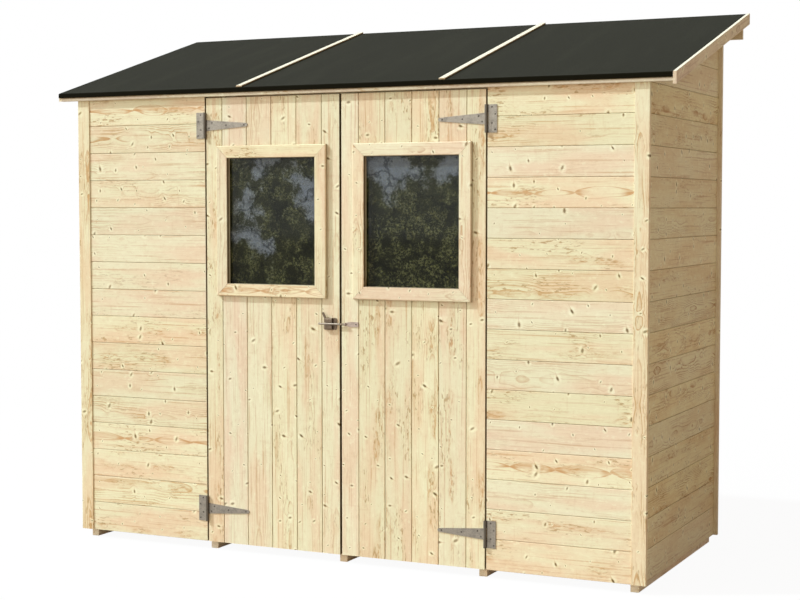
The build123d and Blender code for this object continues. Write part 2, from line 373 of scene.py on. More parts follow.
class NodeBench:
    """Adds nodes to one tree and joins them."""

    def __init__(self, tree: bpy.types.NodeTree) -> None:
        """Takes the tree to work on."""
        self.tree = tree

    def put(self, socket: bpy.types.NodeSocket, value: Any) -> None:
        """Joins a socket to a wire, or sets its value.

        Args:
            socket: An input of a node.
            value: A wire, a number, or a colour of three numbers.
        """
        if isinstance(value, Wire):
            self.tree.links.new(value.socket, socket)
        elif socket.type == "RGBA" and len(value) == 3:
            socket.default_value = (*value, 1.0)
        else:
            socket.default_value = value

    def add(self, kind: str, inputs: Optional[dict[Any, Any]] = None,
            **settings: Any) -> bpy.types.Node:
        """Adds a node.

        Args:
            kind: The node's type name, less ShaderNode.
            inputs: Values or wires for its inputs, by name or number.
            settings: The node's own properties.

        Returns:
            The new node.
        """
        node = self.tree.nodes.new(kind if kind.startswith("NodeGroup") else "ShaderNode" + kind)
        for key, value in settings.items():
            setattr(node, key, value)
        for key, value in (inputs or {}).items():
            self.put(node.inputs[key], value)
        return node

    def out(self, node: bpy.types.Node, key: Any = 0) -> Wire:
        """An output of a node, by name or number."""
        return Wire(self, node.outputs[key])

    def place(self) -> Wire:
        """Where a point lies on its object."""
        return self.out(self.add("TexCoord"), "Object")

    def math(self, operation: str, *values: Any) -> Wire:
        """A Math node's result."""
        return self.out(self.add("Math", dict(enumerate(values)), operation=operation))

    def most(self, *values: Wire) -> Wire:
        """The largest of several values."""
        return reduce(lambda a, b: self.math("MAXIMUM", a, b), values)

    def distance(self, a: Wire, b: Wire) -> Wire:
        """The length of an offset with the parts a and b: sqrt(a^2 + b^2)."""
        return self.math("SQRT", a * a + b * b)

    def vector(self, operation: str, *values: Any, key: Any = 0) -> Wire:
        """A Vector Math node's result."""
        return self.out(self.add("VectorMath", dict(enumerate(values)), operation=operation), key)

    def split(self, value: Wire, kind: str = "XYZ") -> list[Wire]:
        """The three parts of a vector, or of a colour if the kind is Color."""
        node = self.add("Separate" + kind, {0: value})
        return [self.out(node, part) for part in range(3)]

    def blend(self, share: Any, low: Any, high: Any) -> Wire:
        """Two colours mixed by a share."""
        return self.out(self.add("Mix", {0: share, 6: low, 7: high}, data_type="RGBA"), 2)

    def spread(self, value: Wire, low: float, high: float, to_low: float = 0.0,
               to_high: float = 1.0) -> Wire:
        """A value eased from one range to another and held at its ends."""
        ends = {0: value, 1: low, 2: high, 3: to_low, 4: to_high}
        return self.out(self.add("MapRange", ends, interpolation_type="SMOOTHSTEP"))

    def noise(self, vector: Wire, scale: Union[float, Point], detail: float = 2.0,
              rough: float = 0.5, key: Any = 0) -> Wire:
        """Soft noise from 0 to 1.

        Args:
            vector: Where to look it up.
            scale: One scale, or one for each axis.
            detail: How many finer layers it has.
            rough: How strong those are.
            key: The output to take.

        Returns:
            The noise.
        """
        if isinstance(scale, tuple):
            vector, scale = self.vector("MULTIPLY", vector, scale), 1.0
        inputs = {"Vector": vector, "Scale": scale, "Detail": detail, "Roughness": rough}
        return self.out(self.add("TexNoise", inputs), key)

    def group(self, tree: bpy.types.NodeTree, inputs: dict[str, Any]) -> list[Wire]:
        """The colour, roughness and height that an effect gives."""
        node = self.add("Group", inputs, node_tree=tree)
        return [self.out(node, key) for key in EFFECT_OUTPUTS]

    def coat(self, colour: Wire, rough: Wire, plain: dict[str, float],
             height: Optional[Wire] = None, bump: Span = (0.0, 0.0)) -> None:
        """Joins a finish to the tree's Principled shader.

        Args:
            colour: Its colour.
            rough: Its roughness.
            plain: Constants, by the shader's sockets.
            height: Height of its fine relief, or None for none.
            bump: Strength and distance of that relief.
        """
        values = {"Base Color": colour, "Roughness": rough, **plain}
        if height is not None:
            relief = {"Strength": bump[0], "Distance": bump[1], "Height": height}
            values["Normal"] = self.out(self.add("Bump", relief))
        shader = self.tree.nodes["Principled BSDF"]
        for key, value in values.items():
            self.put(shader.inputs[key], value)


def new_effect(name: str, inputs: dict[str, str]) -> tuple[NodeBench, dict[str, Wire]]:
    """Starts a shared node group.

    Args:
        name: The group's name.
        inputs: Socket types by name.

    Returns:
        A bench on the group and its inputs by name.
    """
    tree = bpy.data.node_groups.new(name, "ShaderNodeTree")
    for in_out, sockets in (("INPUT", inputs), ("OUTPUT", EFFECT_OUTPUTS)):
        for socket, kind in sockets.items():
            tree.interface.new_socket(name=socket, in_out=in_out, socket_type="NodeSocket" + kind)
    bench = NodeBench(tree)
    given = bench.add("NodeGroupInput")
    return bench, {key: bench.out(given, key) for key in inputs}


def close_effect(bench: NodeBench, *results: Wire) -> bpy.types.NodeTree:
    """Ends a shared node group with its colour, roughness and height."""
    bench.add("NodeGroupOutput", dict(zip(EFFECT_OUTPUTS, results)))
    return bench.tree


class SpruceFigure:
    """The figure of sawn spruce: rings round the heart of the log, fibres, soft stains and knots.

    A point's ring is its distance from the log's axis divided by the rings' spacing; slow noise and
    the knots push it aside, so that the rings run in arches and part round the knots.
    """

    inputs = {"Grain": "Vector", "Tone": "Float", "Soil": "Float", "Pale": "Color",
              "Late": "Color", "Blush": "Color", "Knot": "Color", "Knots": "Float",
              "Rings": "Float", "Contrast": "Float"}
    noises = {   # scale along, across and through the log, detail, roughness
        "slow": ((2.3, 12.0, 12.0), 2.0, 0.5),
        "patch": ((5.5, 17.0, 17.0), 1.0, 0.5),
        "wave": ((6.5, 2.0, 2.0), 1.0, 0.5),
        "streak": ((2.6, 135.0, 135.0), 2.0, 0.6),
        "fibre": ((9.0, 520.0, 520.0), 2.0, 0.5),
        "dash": ((32.0, 120.0, 120.0), 3.0, 0.65),
        "ripple": ((75.0, 10.0, 10.0), 2.0, 0.5),
        "fleck": ((38.0, 70.0, 70.0), 3.0, 0.7),
        "speck": ((34.0, 125.0, 125.0), 2.0, 0.6),
    }
    own_numbers = (7.31, 23.7)           # draw two more numbers from a timber's tone
    swing = 0.030                        # how far the heart wanders across the log
    taper = 0.006                        # how the log narrows, per metre
    waviness = 0.016                     # how far the rings wave
    parting = 0.004                      # how far they part round a knot
    oval_rate = 16.5                     # ovals along a log: pi of these to each
    oval_drift = 4.5                     # how unevenly they follow each other
    oval_widths = (0.009, 0.015)         # half width of the narrowest, and what the widest adds
    knot_cell = (0.105, 0.062, 0.0)      # at most one knot in each such stretch of a log
    knot_radii = (0.0013, 0.0034)        # of the smallest, and what the largest adds
    sapwood = (0.84, 0.80, 0.54)
    pale_fleck = (0.95, 0.91, 0.66)
    brown_speck = (0.46, 0.29, 0.13)
    halo_tint = (0.98, 0.93, 0.68)
    resin = (0.52, 0.33, 0.09)           # the ring round a knot
    # colour of the darkening: painted shade in gaps, reveals and along edges, and dirt in the
    # joints
    dirt_and_shade_tint = (0.085, 0.044, 0.004)

    def __init__(self) -> None:
        """Starts the group and lays out what its parts share."""
        self.bench, self.given = new_effect("spruce_figure", self.inputs)
        grain, self.tone = self.given["Grain"], self.given["Tone"]
        self.along, self.across, self.through = self.bench.split(grain)
        self.noise = {name: self.bench.noise(grain, *kind) for name, kind in self.noises.items()}
        self.other, self.third = (self.bench.math("FRACT", self.tone * n) for n in self.own_numbers)
        self.bent = self.across + (self.noise["slow"] * self.swing - self.swing / 2)

    def band(self, noise: str, *ends: float) -> Wire:
        """One of the noises, spread between ends."""
        return self.bench.spread(self.noise[noise], *ends)

    def knots(self) -> dict[str, Wire]:
        """The knots, each somewhere in its cell.

        Returns:
            Masks by name: core and its darkness, the collar and halo round it, the spike beside
            some, and the push on the rings.
        """
        bench, cell = self.bench, self.knot_cell
        place = {0: self.along / cell[0], 1: self.across / cell[1]}
        spot = bench.out(bench.add("CombineXYZ", place))
        cells = bench.add("TexVoronoi", {"Vector": spot, "Scale": 1.0}, voronoi_dimensions="2D")
        aside = bench.vector("SUBTRACT", spot, bench.out(cells, "Position"))
        x, y, _ = bench.split(bench.vector("MULTIPLY", aside, cell))
        size, luck, turn = bench.split(bench.out(cells, "Color"), "Color")
        there = self.given["Knots"] > luck
        radius = size**2.2 * self.knot_radii[1] + self.knot_radii[0]
        leant = y * (turn * 1.2 - 0.6) + x
        near = bench.distance(leant, y * 0.58) / radius
        glow = bench.distance(x, y * 0.85) / radius
        far = bench.distance(leant * 2.4, y * 0.16) / radius
        spike = (turn > 0.45) * bench.spread(far, 1.6, 0.4, 0.0, 0.45)
        core = there * bench.spread(near, 1.35, 0.65)
        return {"core": core, "dark": core * (turn * 0.38 + 0.52),
                "halo": there * bench.spread(glow, 5.2, 1.3),
                "collar": there * bench.spread(near, 2.3, 1.1, 0.0, 0.40),
                "push": there * bench.spread(near, 8.0, 0.6),
                "spike": spike * (there * (y > 0.0))}

    def rings(self, push: Wire) -> Wire:
        """The rings: a sharp edge of late wood in front of a soft rise, vivid in patches.

        Args:
            push: How strongly a knot parts the rings.

        Returns:
            How strongly the late wood shows.
        """
        bench = self.bench
        heart = bench.distance(self.bent, self.through) + self.along * self.taper
        parted = heart + self.noise["wave"] * self.waviness + push * self.parting
        turn = bench.math("FRACT", parted / self.given["Rings"])
        edge = bench.spread(turn, 0.62, 0.94) * bench.spread(turn, 1.0, 0.95)
        soft = bench.spread(turn, 0.1, 0.9, 0.0, 0.30)
        vivid = self.band("patch", 0.40, 0.66, 0.10, 1.0) * self.given["Contrast"]
        return bench.most(edge, soft) * (vivid * (self.other**2.5 * 1.3 + 0.3))

    def ovals(self) -> Wire:
        """A row of pointed ovals along the heart, some with a second one inside, some filled.

        Returns:
            How strongly they show; not at all on timbers that aren't cut through the heart.
        """
        bench, streak = self.bench, self.noise["streak"]
        phase = self.along * self.oval_rate + self.noise["slow"] * self.oval_drift
        number = bench.math("FLOOR", phase / math.pi)
        chances = bench.add("TexWhiteNoise", {"W": number}, noise_dimensions="1D")
        width, nests, fills = bench.split(bench.out(chances, "Color"), "Color")
        sway = abs(bench.math("SINE", phase))
        drift = self.noise["patch"] * 0.020 + (self.across - 0.010) + streak * 0.0030
        off = abs(drift)
        bulge = sway**0.75 * (width * self.oval_widths[1] + self.oval_widths[0])
        rim = off - bulge
        outline = bench.spread(abs(rim), 0.0026, 0.0004)
        outline = outline * bench.spread(sway, 1.0, 0.60, 0.35, 0.95)
        nested = bench.spread(abs(off - bulge * 0.5), 0.0022, 0.0004, 0.0, 0.7) * (nests > 0.45)
        tip = bench.spread(sway, 0.75, 0.25) * bench.spread(rim, 0.001, -0.002)
        filled = bench.spread(rim, 0.0, -0.004, 0.0, 0.5) * (fills > 0.55)
        filled = filled * bench.spread(drift, -0.008, 0.004)
        ragged = bench.spread(streak, 0.32, 0.58, 0.55, 1.0)
        return bench.most(outline, nested, tip, filled) * ragged * (self.tone > FIGURED_FROM)

    def build(self) -> bpy.types.NodeTree:
        """Lays the parts over each other, from the pale wood up to the dirt and painted shade.

        Returns:
            The node group.
        """
        bench, given, late = self.bench, self.given, self.given["Late"]
        fibre, soil = self.noise["fibre"], given["Soil"]
        knots = self.knots()
        line = self.rings(knots["push"])
        flecked = bench.spread(abs(self.bent), 0.019, 0.005) * (self.third > 0.55)
        flecked = flecked * self.band("patch", 0.42, 0.62)
        flecked = flecked * self.band("dash", 0.47, 0.66, 0.12, 0.85)
        speckled = self.band("speck", 0.56, 0.66, 0.0, 0.75) * self.band("patch", 0.50, 0.62)
        speckled = speckled * bench.spread(self.third, 0.15, 0.65, 0.15, 1.0)
        layers = (
            (self.band("patch", 0.35, 0.70, 0.0, 0.5), self.sapwood),
            (self.band("slow", 0.40, 0.66), given["Blush"]),
            (line, late),
            (self.band("streak", 0.55, 0.73, 0.0, 0.62), late),
            (self.band("fibre", 0.50, 0.85, 0.0, 0.25), late),
            (self.band("ripple", 0.60, 0.80, 0.0, 0.16), late),
            (self.band("fleck", 0.52, 0.74, 0.0, 0.42), self.pale_fleck),
            (self.band("fleck", 0.46, 0.28, 0.0, 0.22), late),
            (flecked, late),
            (speckled, self.brown_speck),
            (self.ovals(), late),
            (knots["halo"] * self.band("dash", 0.32, 0.60, 0.22, 0.95), self.halo_tint),
            (knots["spike"], late),
            (knots["collar"], self.resin),
            (knots["dark"], given["Knot"]),
        )
        colour = given["Pale"]
        for share, tint in layers:
            colour = bench.blend(share, colour, tint)
        toned = bench.add("HueSaturation", {"Color": colour, "Hue": self.other * 0.010 + 0.495,
                                            "Saturation": self.third * 0.16 + 0.92,
                                            "Value": self.tone * 0.07 + 0.96})
        # painted shade, with dirt in the joints, laid where the soil attribute is set
        dirt_and_shade_share = soil * self.band("dash", 0.2, 0.6, 0.85, 1.0)
        rough = fibre * 0.16 + (knots["core"] * 0.12 + 0.56) + soil * 0.28
        return close_effect(bench, bench.blend(dirt_and_shade_share, bench.out(toned), self.dirt_and_shade_tint), rough,
                            fibre * 0.5 + line * 0.5)


@cache
def spruce_figure() -> bpy.types.NodeTree:
    """The figure of sawn spruce as a node group, made once."""
    return SpruceFigure().build()


@cache
def zinc_spangle() -> bpy.types.NodeTree:
    """Flakes of hot-dipped zinc with dull stains over them.

    Returns:
        The node group, made once.
    """
    inputs = {"Place": "Vector", "Bright": "Color", "Dull": "Color"}
    bench, given = new_effect("zinc_spangle", inputs)
    flakes = bench.add("TexVoronoi", {"Vector": given["Place"], "Scale": 260.0})
    flake = bench.split(bench.out(flakes, "Color"), "Color")[0]
    stain = bench.noise(given["Place"], 45.0, 4.0, 0.6)
    share = flake * 0.45 + bench.spread(stain, 0.42, 0.72, 0.0, 0.55)
    return close_effect(bench, bench.blend(share, given["Bright"], given["Dull"]),
                        share * 0.22 + 0.36, stain)


@dataclass(frozen=True)
class Spruce:
    """Planed spruce, without paint."""

    name: str
    slot: str
    pale: Colour
    late: Colour
    blush: Colour
    knot: Colour = srgb(92, 66, 14)
    knots: float = 0.66
    rings: float = 0.0050
    contrast: float = 0.75
    upward_light: Optional[Colour] = None   # painted light: colour of the faces that look up, drawn paler
    sheen: float = 0.22
    bump: Span = (0.30, 0.0004)

    def paint(self, bench: NodeBench) -> None:
        """Lays the figure over the timber's own grain.

        Args:
            bench: A bench on the new material.
        """
        values = {"Pale": self.pale, "Late": self.late, "Blush": self.blush, "Knot": self.knot,
                  "Knots": self.knots, "Rings": self.rings, "Contrast": self.contrast}
        for name, key in (("grain", "Vector"), ("tone", "Fac"), ("soil", "Fac")):
            values[name.title()] = bench.out(bench.add("Attribute", attribute_name=name), key)
        colour, rough, height = bench.group(spruce_figure(), values)
        # painted light: faces that look up are drawn paler, as the sun falls on them
        if self.upward_light is not None:
            upward = bench.split(bench.out(bench.add("NewGeometry"), "Normal"))[2]
            colour = bench.blend(bench.spread(upward, 0.5, 0.9, 0.0, 0.85), colour, self.upward_light)
        bench.coat(colour, rough, {"Specular IOR Level": self.sheen}, height, self.bump)


@dataclass(frozen=True)
class Felt:
    """Bitumen felt with fine mineral grit."""

    name: str = "mineral_felt"
    slot: str = "mineral_felt"
    dark: Colour = srgb(32, 32, 26)
    grit: Colour = srgb(57, 57, 47)
    fold_dark: Colour = srgb(14, 10, 0)
    fold_dark_depth: float = 0.0032    # the fold over the eave is drawn darker
    fold_dark_edge: float = 0.001
    sheen: float = 0.04
    bump: Span = (0.5, 0.0008)

    def paint(self, bench: NodeBench) -> None:
        """Lays grains of grit over soft rain marks down the slope.

        Args:
            bench: A bench on the new material.
        """
        place = bench.place()
        grains = bench.noise(place, 900.0, 2.0, 0.7)
        coarse = bench.noise(place, 240.0, 3.0, 0.6)
        marks = bench.noise(place, (9.0, 1.2, 1.2), 3.0, 0.6)
        share = bench.spread(coarse, 0.35, 0.70) * 0.45
        share = share + bench.spread(grains, 0.45, 0.75, 0.0, 0.45)
        front, edge = CAD_LOW.y + self.fold_dark_depth, self.fold_dark_edge
        fold = bench.spread(bench.split(place)[1], front + edge, front - edge, 0.0, 0.9)
        colour = bench.blend(share, self.dark, self.grit)
        colour = bench.blend(bench.spread(marks, 0.45, 0.75, 0.0, 0.25), colour, self.grit)
        colour = bench.blend(fold, colour, self.fold_dark)
        bench.coat(colour, coarse * 0.15 + 0.72, {"Specular IOR Level": self.sheen},
                   grains * 0.6 + coarse * 0.4, self.bump)


@dataclass(frozen=True)
class Zinc:
    """Galvanised steel, with an upright band drawn darker and a bar drawn lighter."""

    name: str
    slot: str
    bright: Colour = srgb(151, 141, 127)
    dull: Colour = srgb(121, 112, 101)
    # colour of that band: on the hinges painted shade, on the striker its darker inner end
    dark_band: Colour = srgb(70, 60, 46)
    axis: Optional[float] = None   # x of an upright band drawn darker: on a hinge, painted shade by the knuckle; on the striker, its inner end
    reach: float = 0.0050
    bar_metal_and_highlight: Colour = srgb(146, 132, 116)
    bar: Optional[Span] = None     # level and half height of a bar drawn lighter: its paler metal and a painted highlight
    metal: float = 0.75
    bump: Span = (0.15, 0.0003)

    def paint(self, bench: NodeBench) -> None:
        """Lays the spangle, then the line and the bar.

        Args:
            bench: A bench on the new material.
        """
        place = bench.place()
        x, _, z = bench.split(place)
        values = {"Place": place, "Bright": self.bright, "Dull": self.dull}
        colour, rough, height = bench.group(zinc_spangle(), values)
        if self.axis is not None:
            dark_share = bench.spread(abs(x - self.axis), self.reach, self.reach * 0.7, 0.0, 0.7)
            colour = bench.blend(dark_share, colour, self.dark_band)
        if self.bar is not None:
            level, half = self.bar
            bright = bench.spread(abs(z - level), half, half * 0.8)
            colour = bench.blend(bright, colour, self.bar_metal_and_highlight)
        bench.coat(colour, rough, {"Metallic": self.metal}, height, self.bump)


@dataclass(frozen=True)
class Glass:
    """Window glass with painted reflections of leaves, twigs and sky on it."""

    name: str = "window_glass"
    slot: str = "window_glass"
    dark: Colour = srgb(24, 28, 16)
    # colours of the painted reflections of leaves and sky
    leaf: Colour = srgb(150, 152, 104)
    sky: Colour = srgb(196, 206, 226)
    sky_from: Span = (1.15, 1.55)     # heights between which the painted sky reflection grows
    sky_beside: Span = (-0.10, 0.15)  # places across between which it does
    swirl: float = 0.22
    through: float = 0.7
    ior: float = 1.22

    def paint(self, bench: NodeBench) -> None:
        """Lays mottled painted reflections of leaves, twigs and sky on dark glass.

        Args:
            bench: A bench on the new material.
        """
        place = bench.place()
        x, _, z = bench.split(place)
        upwards = bench.spread(z, *self.sky_from, -0.12, 0.06)
        lift = upwards + bench.spread(x, *self.sky_beside, 0.012, -0.055)
        broad = bench.noise(place, 4.2, 1.0, 0.5) + lift
        mid = bench.noise(place, 21.0, 4.0, 0.62)
        fine = bench.noise(place, 130.0, 3.0, 0.75)
        stirred = bench.noise(place, 9.0, 5.0, 0.65, "Color")
        moved = bench.vector("MULTIPLY_ADD", stirred, (self.swirl,) * 3, place)
        twigs = bench.add("TexVoronoi", {"Vector": moved, "Scale": 6.0}, feature="DISTANCE_TO_EDGE")
        skyline = mid * 0.45 + (fine * 0.22 + broad)
        # painted reflections: leaves, sky and dark twigs
        layers = (
            (bench.spread(broad, 0.30, 0.62, 0.08, 0.22), self.leaf),
            (bench.spread(mid, 0.38, 0.60) * bench.spread(fine, 0.46, 0.60, 0.04, 0.95), self.leaf),
            (bench.spread(skyline, 0.85, 0.95, 0.0, 0.50), self.sky),
            (bench.spread(bench.out(twigs, "Distance"), 0.05, 0.01, 0.0, 0.6), self.dark),
        )
        colour = self.dark
        for share, tint in layers:
            colour = bench.blend(share, colour, tint)
        bench.coat(colour, mid * 0.06 + 0.02,
                   {"Transmission Weight": self.through, "IOR": self.ior})


Finish = Union[Spruce, Felt, Zinc, Glass]


class Palette:
    """Every finish on the shed."""

    boards = Spruce("spruce_boards", "spruce_boards", srgb(238, 230, 195), srgb(204, 160, 112),
                    srgb(237, 214, 180))
    # painted shade: a darker, more contrasting copy of the boards for the side walls, which stand
    # in shade
    shaded_side_boards = Spruce("shaded_side_spruce", "spruce_boards", srgb(233, 220, 178), srgb(182, 138, 90),
                         srgb(227, 207, 163), knots=0.95, contrast=1.0)
    trim = Spruce("spruce_trim", "spruce_trim", srgb(239, 229, 195), srgb(208, 168, 122),
                  srgb(238, 216, 181), knots=0.60, contrast=1.15)
    frames = Spruce("frame_spruce", "spruce_trim", srgb(243, 232, 195), srgb(200, 154, 108),
                    srgb(241, 217, 183), knots=0.92, contrast=1.6)
    edging = Spruce("pale_edging", "spruce_trim", srgb(228, 208, 174), srgb(166, 126, 90),
                    srgb(222, 198, 168), knots=0.95, contrast=1.3, upward_light=srgb(242, 239, 220))
    rear_trim = Spruce("rear_trim", "spruce_trim", srgb(234, 222, 198), srgb(194, 158, 122),
                       srgb(228, 206, 178), knots=0.45)
    strip = Spruce("grey_strip", "spruce_trim", srgb(212, 196, 172), srgb(180, 158, 130),
                   srgb(202, 182, 158), knots=0.10, contrast=0.4)
    framing = Spruce("spruce_framing", "spruce_framing", srgb(226, 206, 166), srgb(188, 150, 104),
                     srgb(220, 188, 146), knots=0.55)
    # painted light: a paler copy of the framing, lifting the shade on the bearers' ends and sides
    bearer = Spruce("lit_bearer_spruce", "spruce_framing", srgb(250, 236, 214), srgb(216, 184, 146),
                    srgb(246, 222, 190), knots=0.45)
    felt = Felt()
    hinge = Zinc("hinge_zinc", "galvanised_steel")
    screw = Zinc("screw_steel", "galvanised_steel", srgb(92, 82, 70), srgb(62, 55, 47))
    catch = Zinc("catch_steel", "latch_steel", srgb(116, 98, 80), srgb(84, 70, 54))
    striker = Zinc("striker_steel", "latch_steel", srgb(180, 160, 146), srgb(142, 124, 112),
                   srgb(92, 78, 50), reach=0.026)
    glass = Glass()


@cache
def material_of(finish: Finish) -> bpy.types.Material:
    """The material of a finish, made on its first use.

    Args:
        finish: The finish.

    Returns:
        Its material.
    """
    material = bpy.data.materials.new(finish.name)
    material.use_nodes = True
    finish.paint(NodeBench(material.node_tree))
    return material


def dress(piece: bpy.types.Object, finish: Finish) -> None:
    """Gives a piece its finish, in place of what it had."""
    piece.data.materials.clear()
    piece.data.materials.append(material_of(finish))


def hand_over(piece: bpy.types.Object, body: Body, finish: Finish, *nodes: str) -> None:
    """Finishes a new piece, sets it on its body and lets it stand for its nodes.

    Args:
        piece: The new object, in place.
        body: What it moves with.
        finish: Its finish.
        nodes: The nodes that it replaces.
    """
    dress(piece, finish)
    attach(piece, body.value)
    if nodes:
        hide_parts(*nodes)
    LOG.info("%s: %d faces on %s", piece.name, len(piece.data.polygons), body.value)


# Sub-assemblies


@dataclass
class BoardProfile:
    """Section of a tongue-and-groove board as it shows: bevelled edges and a shadow gap.

    The face is at through = 0. At an edge that meets a neighbour the bevel runs down to a narrow
    gap, which ends on the tongue; at a free edge there is only a small bevel.
    """

    thickness: float = 0.016
    bevel: float = 0.0018
    gap: float = 0.0011
    gap_depth: float = 0.006
    back_bevel: float = 0.0007
    free_bevel: float = 0.0012
    joint_dust_and_shade: float = 0.14     # dirt and painted shade in the bevels and the gap

    def outline(self, low: float, high: float, joints: tuple[bool, bool],
                layer: Optional[Span] = None) -> np.ndarray:
        """Outline between two joint lines.

        Args:
            low: Lower joint line, across the board.
            high: Upper joint line.
            joints: Whether a neighbour meets the lower and the upper edge.
            layer: Part of the thickness to keep, or None for all of it.

        Returns:
            Rows of (across, through).
        """
        top, bottom = layer or (0.0, self.thickness)
        rows: list[Span] = []
        for edge, inward, meets in ((low, 1.0, joints[0]), (high, -1.0, joints[1])):
            half = self.gap / 2 if meets else 0.0
            bevel = self.bevel if meets else self.free_bevel
            side = [(edge, top)]
            if top == 0.0:
                side = [(edge + inward * (half + bevel), 0.0), (edge + inward * half, bevel)]
                if meets:
                    side += [(edge + inward * half, self.gap_depth), (edge, self.gap_depth)]
            if bottom == self.thickness:
                side += [(edge, bottom - self.back_bevel),
                         (edge + inward * self.back_bevel, bottom)]
            else:
                side.append((edge, bottom))
            rows += side[::-1] if inward > 0 else side
        return np.array(rows)

    def soil(self, depth: np.ndarray) -> np.ndarray:
        """Darkening, dirt and painted shade, of an outline's points by their depth under the face.
        """
        return self.joint_dust_and_shade * ((depth > 0.0) & (depth <= self.gap_depth))


@dataclass
class Boarding:
    """A wall, floor or deck of boards side by side, standing for one node."""

    node: str
    lie: Lie
    outward: float               # the side that the bevelled faces look to, on the axis through it
    joints: np.ndarray           # joint lines across the boards
    seed: int
    finish: Spruce = Palette.boards
    follows_roof: bool = False   # the boards themselves run up the slope
    figured: tuple[int, ...] = ()   # boards cut through the heart, counted from the lowest
    least_width: float = 0.012   # a narrower strip at an edge stays with its neighbour
    setback: float = 0.0004      # how far a board's face may lie behind the wall's
    end_grain: float = 0.0012    # length of the painted shade at each end
    # strength of the painted shade at a board's ends, where it meets a corner board or a doorway's
    # gap
    end_painted_shade: float = 0.72

    def lines(self, low: float, high: float) -> np.ndarray:
        """Joint lines between two edges, with the edges."""
        inside = (self.joints > low + self.least_width) & (self.joints < high - self.least_width)
        return np.concatenate([[low], self.joints[inside], [high]])

    def start(self, outline: np.ndarray, start: float, end: float) -> Length:
        """Where each point of a board's outline starts along its run.

        Boards that run up a gable start where the roof line lies above them:
        y = (height - roof height at 0) / rise, and not before the wall's own start.

        Args:
            outline: Rows of (across, through).
            start: Where the wall starts.
            end: Where the wall ends.

        Returns:
            One place, or one for each point.
        """
        if self.lie is not Lie.ALONG_SIDE:
            return start
        return np.clip((outline[:, 0] - roof_line(0.0)) / ROOF_RISE, start, end)

    def build(self) -> None:
        """Makes the boards, each set back a little and with painted shade at its ends."""
        low, high, slope = level_box(self.node, self.follows_roof)
        along, across, through = self.lie.value
        profile = BoardProfile(thickness=high[through] - low[through])
        face = high[through] if self.outward > 0 else low[through]
        dark_end = self.end_grain / (high[along] - low[along])
        shares = (0.0, dark_end, 1.0 - dark_end, 1.0)
        mesh = TimberMesh(self.node + "_boards", self.seed)
        edges = self.lines(low[across], high[across])
        for index, (lower, upper) in enumerate(zip(edges[:-1], edges[1:])):
            outline = profile.outline(lower, upper, (index > 0, index < len(edges) - 2))
            if self.lie is Lie.ALONG_SIDE:
                outline = self.with_corner(outline, roof_line(low[along]))
            depth = outline[:, 1]
            back = mesh.rng.uniform(0.0, self.setback) * (depth < profile.gap_depth)
            placed = np.stack([outline[:, 0], face - self.outward * (depth + back)], 1)
            start = self.start(placed, low[along], high[along])
            ring = carried(placed, start, high[along], self.lie, shares)
            if self.lie is Lie.ACROSS_WALL:
                ring[..., 2] = np.minimum(ring[..., 2], roof_line(ring[..., 1]))
            soil = np.tile(profile.soil(depth), (len(ring), 1))
            soil[[0, -1]] = self.end_painted_shade
            cut = mesh.log((lower + upper) / 2, index in self.figured)
            mesh.add(ring, self.lie, cut, slope, soil)
        hand_over(mesh.object(), Body.SHED, self.finish, self.node)

    @staticmethod
    def with_corner(outline: np.ndarray, level: float) -> np.ndarray:
        """Adds points where an outline's long edges pass a level, so that a cut can turn there.

        Args:
            outline: Rows of (across, through).
            level: The level, across.

        Returns:
            The outline with its new points, each on the straight line between its neighbours.
        """
        ahead = np.roll(outline, -1, axis=0)
        where = np.nonzero((outline[:, 0] - level) * (ahead[:, 0] - level) < 0)[0]
        share = (level - outline[where, 0]) / (ahead[where, 0] - outline[where, 0])
        extra = outline[where] + share[:, None] * (ahead[where] - outline[where])
        return np.insert(outline, where + 1, extra, axis=0)


@dataclass
class Timber:
    """A planed timber of rectangular section with eased edges, standing for one node."""

    node: str
    lie: Lie
    seed: int
    finish: Spruce = Palette.framing
    arris: float = 0.0018
    roof_cut: bool = False       # its top is cut to the roof slope
    follows_roof: bool = False   # it runs up the roof slope
    body: Body = Body.SHED
    parts: Optional[list[Span]] = None   # heights, where the node has several such timbers
    foot_painted_shade: float = 0.0       # painted shade down its sides towards what it lies on

    def build(self) -> None:
        """Makes the timber, or each of them."""
        low, high, slope = level_box(self.node, self.follows_roof)
        along, across, through = self.lie.value
        mesh = TimberMesh(self.node + "_timber", self.seed)
        for bottom, top in self.parts or [(low[2], high[2])]:
            low[2], high[2] = bottom, top
            corners = np.array([(low[across], low[through]), (high[across], low[through]),
                                (high[across], high[through]), (low[across], high[through])])
            if self.roof_cut and self.lie is Lie.ACROSS_WALL:
                corners[1:3, 0] = roof_line(corners[1:3, 1])
            outline = eased(corners, self.arris)
            end: Length = high[along]
            if self.roof_cut and self.lie is Lie.UPRIGHT:
                end = roof_line(outline[:, 1])
            foot = self.foot_painted_shade * (outline[:, 1] < (low[through] + high[through]) / 2)
            mesh.add(carried(outline, low[along], end, self.lie), self.lie, slope=slope, soil=foot)
        hand_over(mesh.object(), self.body, self.finish, self.node)


